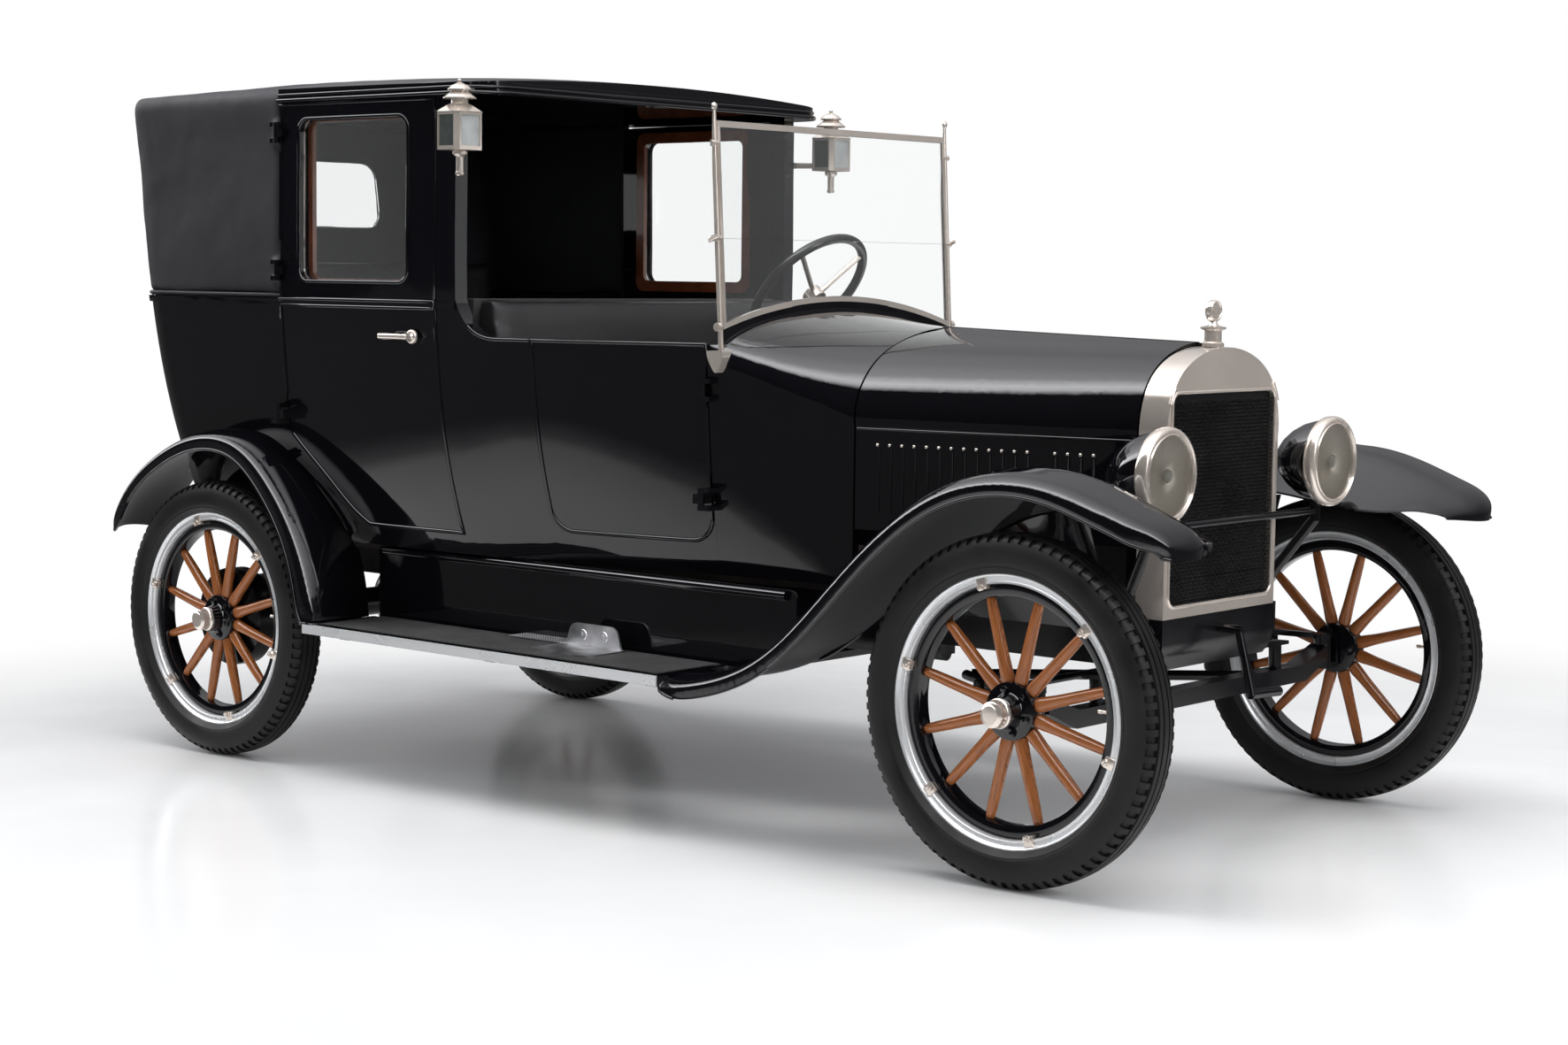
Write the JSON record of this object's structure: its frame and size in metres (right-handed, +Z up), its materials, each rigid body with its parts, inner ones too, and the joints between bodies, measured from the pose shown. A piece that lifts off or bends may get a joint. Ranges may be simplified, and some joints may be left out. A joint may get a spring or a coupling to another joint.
{
  "type": "town car",
  "caption": "Vintage closed-cabin town car with an open driver compartment, wooden-spoke wheels, opening doors and hood, and coupled steering.",
  "frame": {"origin": "bottom centre of the whole car, on the ground", "axes": "+X forwards, +Y to the left of the car, +Z up"},
  "size_m": [3.7207, 1.608, 1.9404],
  "materials": {
    "body_black": "deep gloss enamel",
    "chassis_black": "semi-gloss black",
    "tyre_rubber": "matt black rubber with a ribbed tread",
    "spoke_wood": "varnished hickory",
    "engine_iron": "plain casting",
    "hide_black": "grained black hide",
    "nickel": "warm polished nickel",
    "core_black": "matt black core",
    "clear_glass": "clear plate glass",
    "floor_wood": "dark stained boards",
    "trim_cloth": "dark cloth trim",
    "grip_black": "black hard rubber rim on a nickel spider",
    "step_aluminium": "cast tread plate"
  },
  "bodies": {
    "car": {"body_tub": "body_black", "chassis_frame": "chassis_black", "cowl": "body_black", "crank": "chassis_black", "division": "trim_cloth", "engine": "engine_iron", "exhaust": "engine_iron", "floor": "floor_wood", "front_apron": "chassis_black", "front_axle": "chassis_black", "front_fender_left": "body_black", "front_fender_right": "body_black", "front_seat": "hide_black", "front_skirt_left": "body_black", "front_skirt_right": "body_black", "front_spring": "chassis_black", "headlamp_left": "body_black", "headlamp_right": "body_black", "lamp_bar": "chassis_black", "quarter_top": "hide_black", "radiator_cap": "nickel", "radiator_core": "core_black", "radiator_shell": "nickel", "rear_axle": "chassis_black", "rear_fender_left": "body_black", "rear_fender_right": "body_black", "rear_seat": "hide_black", "rear_spring": "chassis_black", "rear_window": "clear_glass", "roof": "body_black", "running_board_left": "body_black", "running_board_right": "body_black", "side_lamp_left": "nickel", "side_lamp_right": "nickel", "steering_column": "chassis_black", "step_plate_left": "step_aluminium", "step_plate_right": "step_aluminium", "upper_quarter": "hide_black", "windshield_frame": "nickel", "windshield_glass": "clear_glass"},
    "knuckle_left": {"knuckle_left": "chassis_black"},
    "front_wheel_left": {"tyre_front_left": "tyre_rubber", "wheel_front_left": "spoke_wood"},
    "rear_wheel_left": {"tyre_rear_left": "tyre_rubber", "wheel_rear_left": "spoke_wood"},
    "rear_door_left": {"rear_door_glass_left": "clear_glass", "rear_door_left": "body_black"},
    "front_door_left": {"front_door_left": "body_black"},
    "hood_left": {"hood_left": "body_black"},
    "knuckle_right": {"knuckle_right": "chassis_black"},
    "front_wheel_right": {"tyre_front_right": "tyre_rubber", "wheel_front_right": "spoke_wood"},
    "rear_wheel_right": {"tyre_rear_right": "tyre_rubber", "wheel_rear_right": "spoke_wood"},
    "rear_door_right": {"rear_door_glass_right": "clear_glass", "rear_door_right": "body_black"},
    "front_door_right": {"front_door_right": "body_black"},
    "hood_right": {"hood_right": "body_black"},
    "tie_rod": {"tie_rod": "chassis_black"},
    "steering_wheel": {"steering_wheel": "grip_black"}
  },
  "joints": [
    {"name": "steer_left", "type": "hinge", "parent": "car", "child": "knuckle_left", "pos_m": [1.448, 0.632, 0.393], "axis": [0, 0, 1], "range_deg": [-32, 32]},
    {"name": "steer_right", "type": "hinge", "parent": "car", "child": "knuckle_right", "pos_m": [1.448, -0.632, 0.393], "axis": [0, 0, 1], "range_deg": [-32, 32]},
    {"name": "tie_rod_pivot", "type": "hinge", "parent": "knuckle_left", "child": "tie_rod", "pos_m": [1.298, 0.632, 0.409], "axis": [0, 0, 1], "range_deg": [-32, 32]},
    {"name": "steering_spin", "type": "hinge", "parent": "car", "child": "steering_wheel", "pos_m": [-0.02245, 0.325, 1.32374], "axis": [-0.753, 0, 0.658], "range_deg": [-256, 256]},
    {"name": "front_wheel_left_spin", "type": "hinge", "parent": "knuckle_left", "child": "front_wheel_left", "pos_m": [1.448, 0.711, 0.393], "axis": [0, 1, 0], "continuous": true},
    {"name": "rear_wheel_left_spin", "type": "hinge", "parent": "car", "child": "rear_wheel_left", "pos_m": [-1.346, 0.711, 0.393], "axis": [0, 1, 0], "continuous": true},
    {"name": "rear_door_left_swing", "type": "hinge", "parent": "car", "child": "rear_door_left", "pos_m": [-1.07568, 0.712, 1.22286], "axis": [0.0201, 0, 0.9998], "range_deg": [0, 75]},
    {"name": "front_door_left_swing", "type": "hinge", "parent": "car", "child": "front_door_left", "pos_m": [0.33002, 0.502, 0.9946], "axis": [-0.0201, 0, -0.9998], "range_deg": [0, 70]},
    {"name": "hood_left_lift", "type": "hinge", "parent": "car", "child": "hood_left", "pos_m": [0.73167, 0, 1.22259], "axis": [0.9989, 0, -0.0461], "range_deg": [0, 62]},
    {"name": "front_wheel_right_spin", "type": "hinge", "parent": "knuckle_right", "child": "front_wheel_right", "pos_m": [1.448, -0.711, 0.393], "axis": [0, 1, 0], "continuous": true},
    {"name": "rear_wheel_right_spin", "type": "hinge", "parent": "car", "child": "rear_wheel_right", "pos_m": [-1.346, -0.711, 0.393], "axis": [0, 1, 0], "continuous": true},
    {"name": "rear_door_right_swing", "type": "hinge", "parent": "car", "child": "rear_door_right", "pos_m": [-1.07568, -0.712, 1.22286], "axis": [-0.0201, 0, -0.9998], "range_deg": [0, 75]},
    {"name": "front_door_right_swing", "type": "hinge", "parent": "car", "child": "front_door_right", "pos_m": [0.33002, -0.502, 0.9946], "axis": [0.0201, 0, 0.9998], "range_deg": [0, 70]},
    {"name": "hood_right_lift", "type": "hinge", "parent": "car", "child": "hood_right", "pos_m": [0.73167, 0, 1.22259], "axis": [-0.9989, 0, 0.0461], "range_deg": [0, 62]}
  ],
  "couplings": [
    {"joint": "steer_right", "follows": "steer_left", "ratio": 1},
    {"joint": "tie_rod_pivot", "follows": "steer_left", "ratio": -1},
    {"joint": "steering_spin", "follows": "steer_left", "ratio": 8}
  ]
}
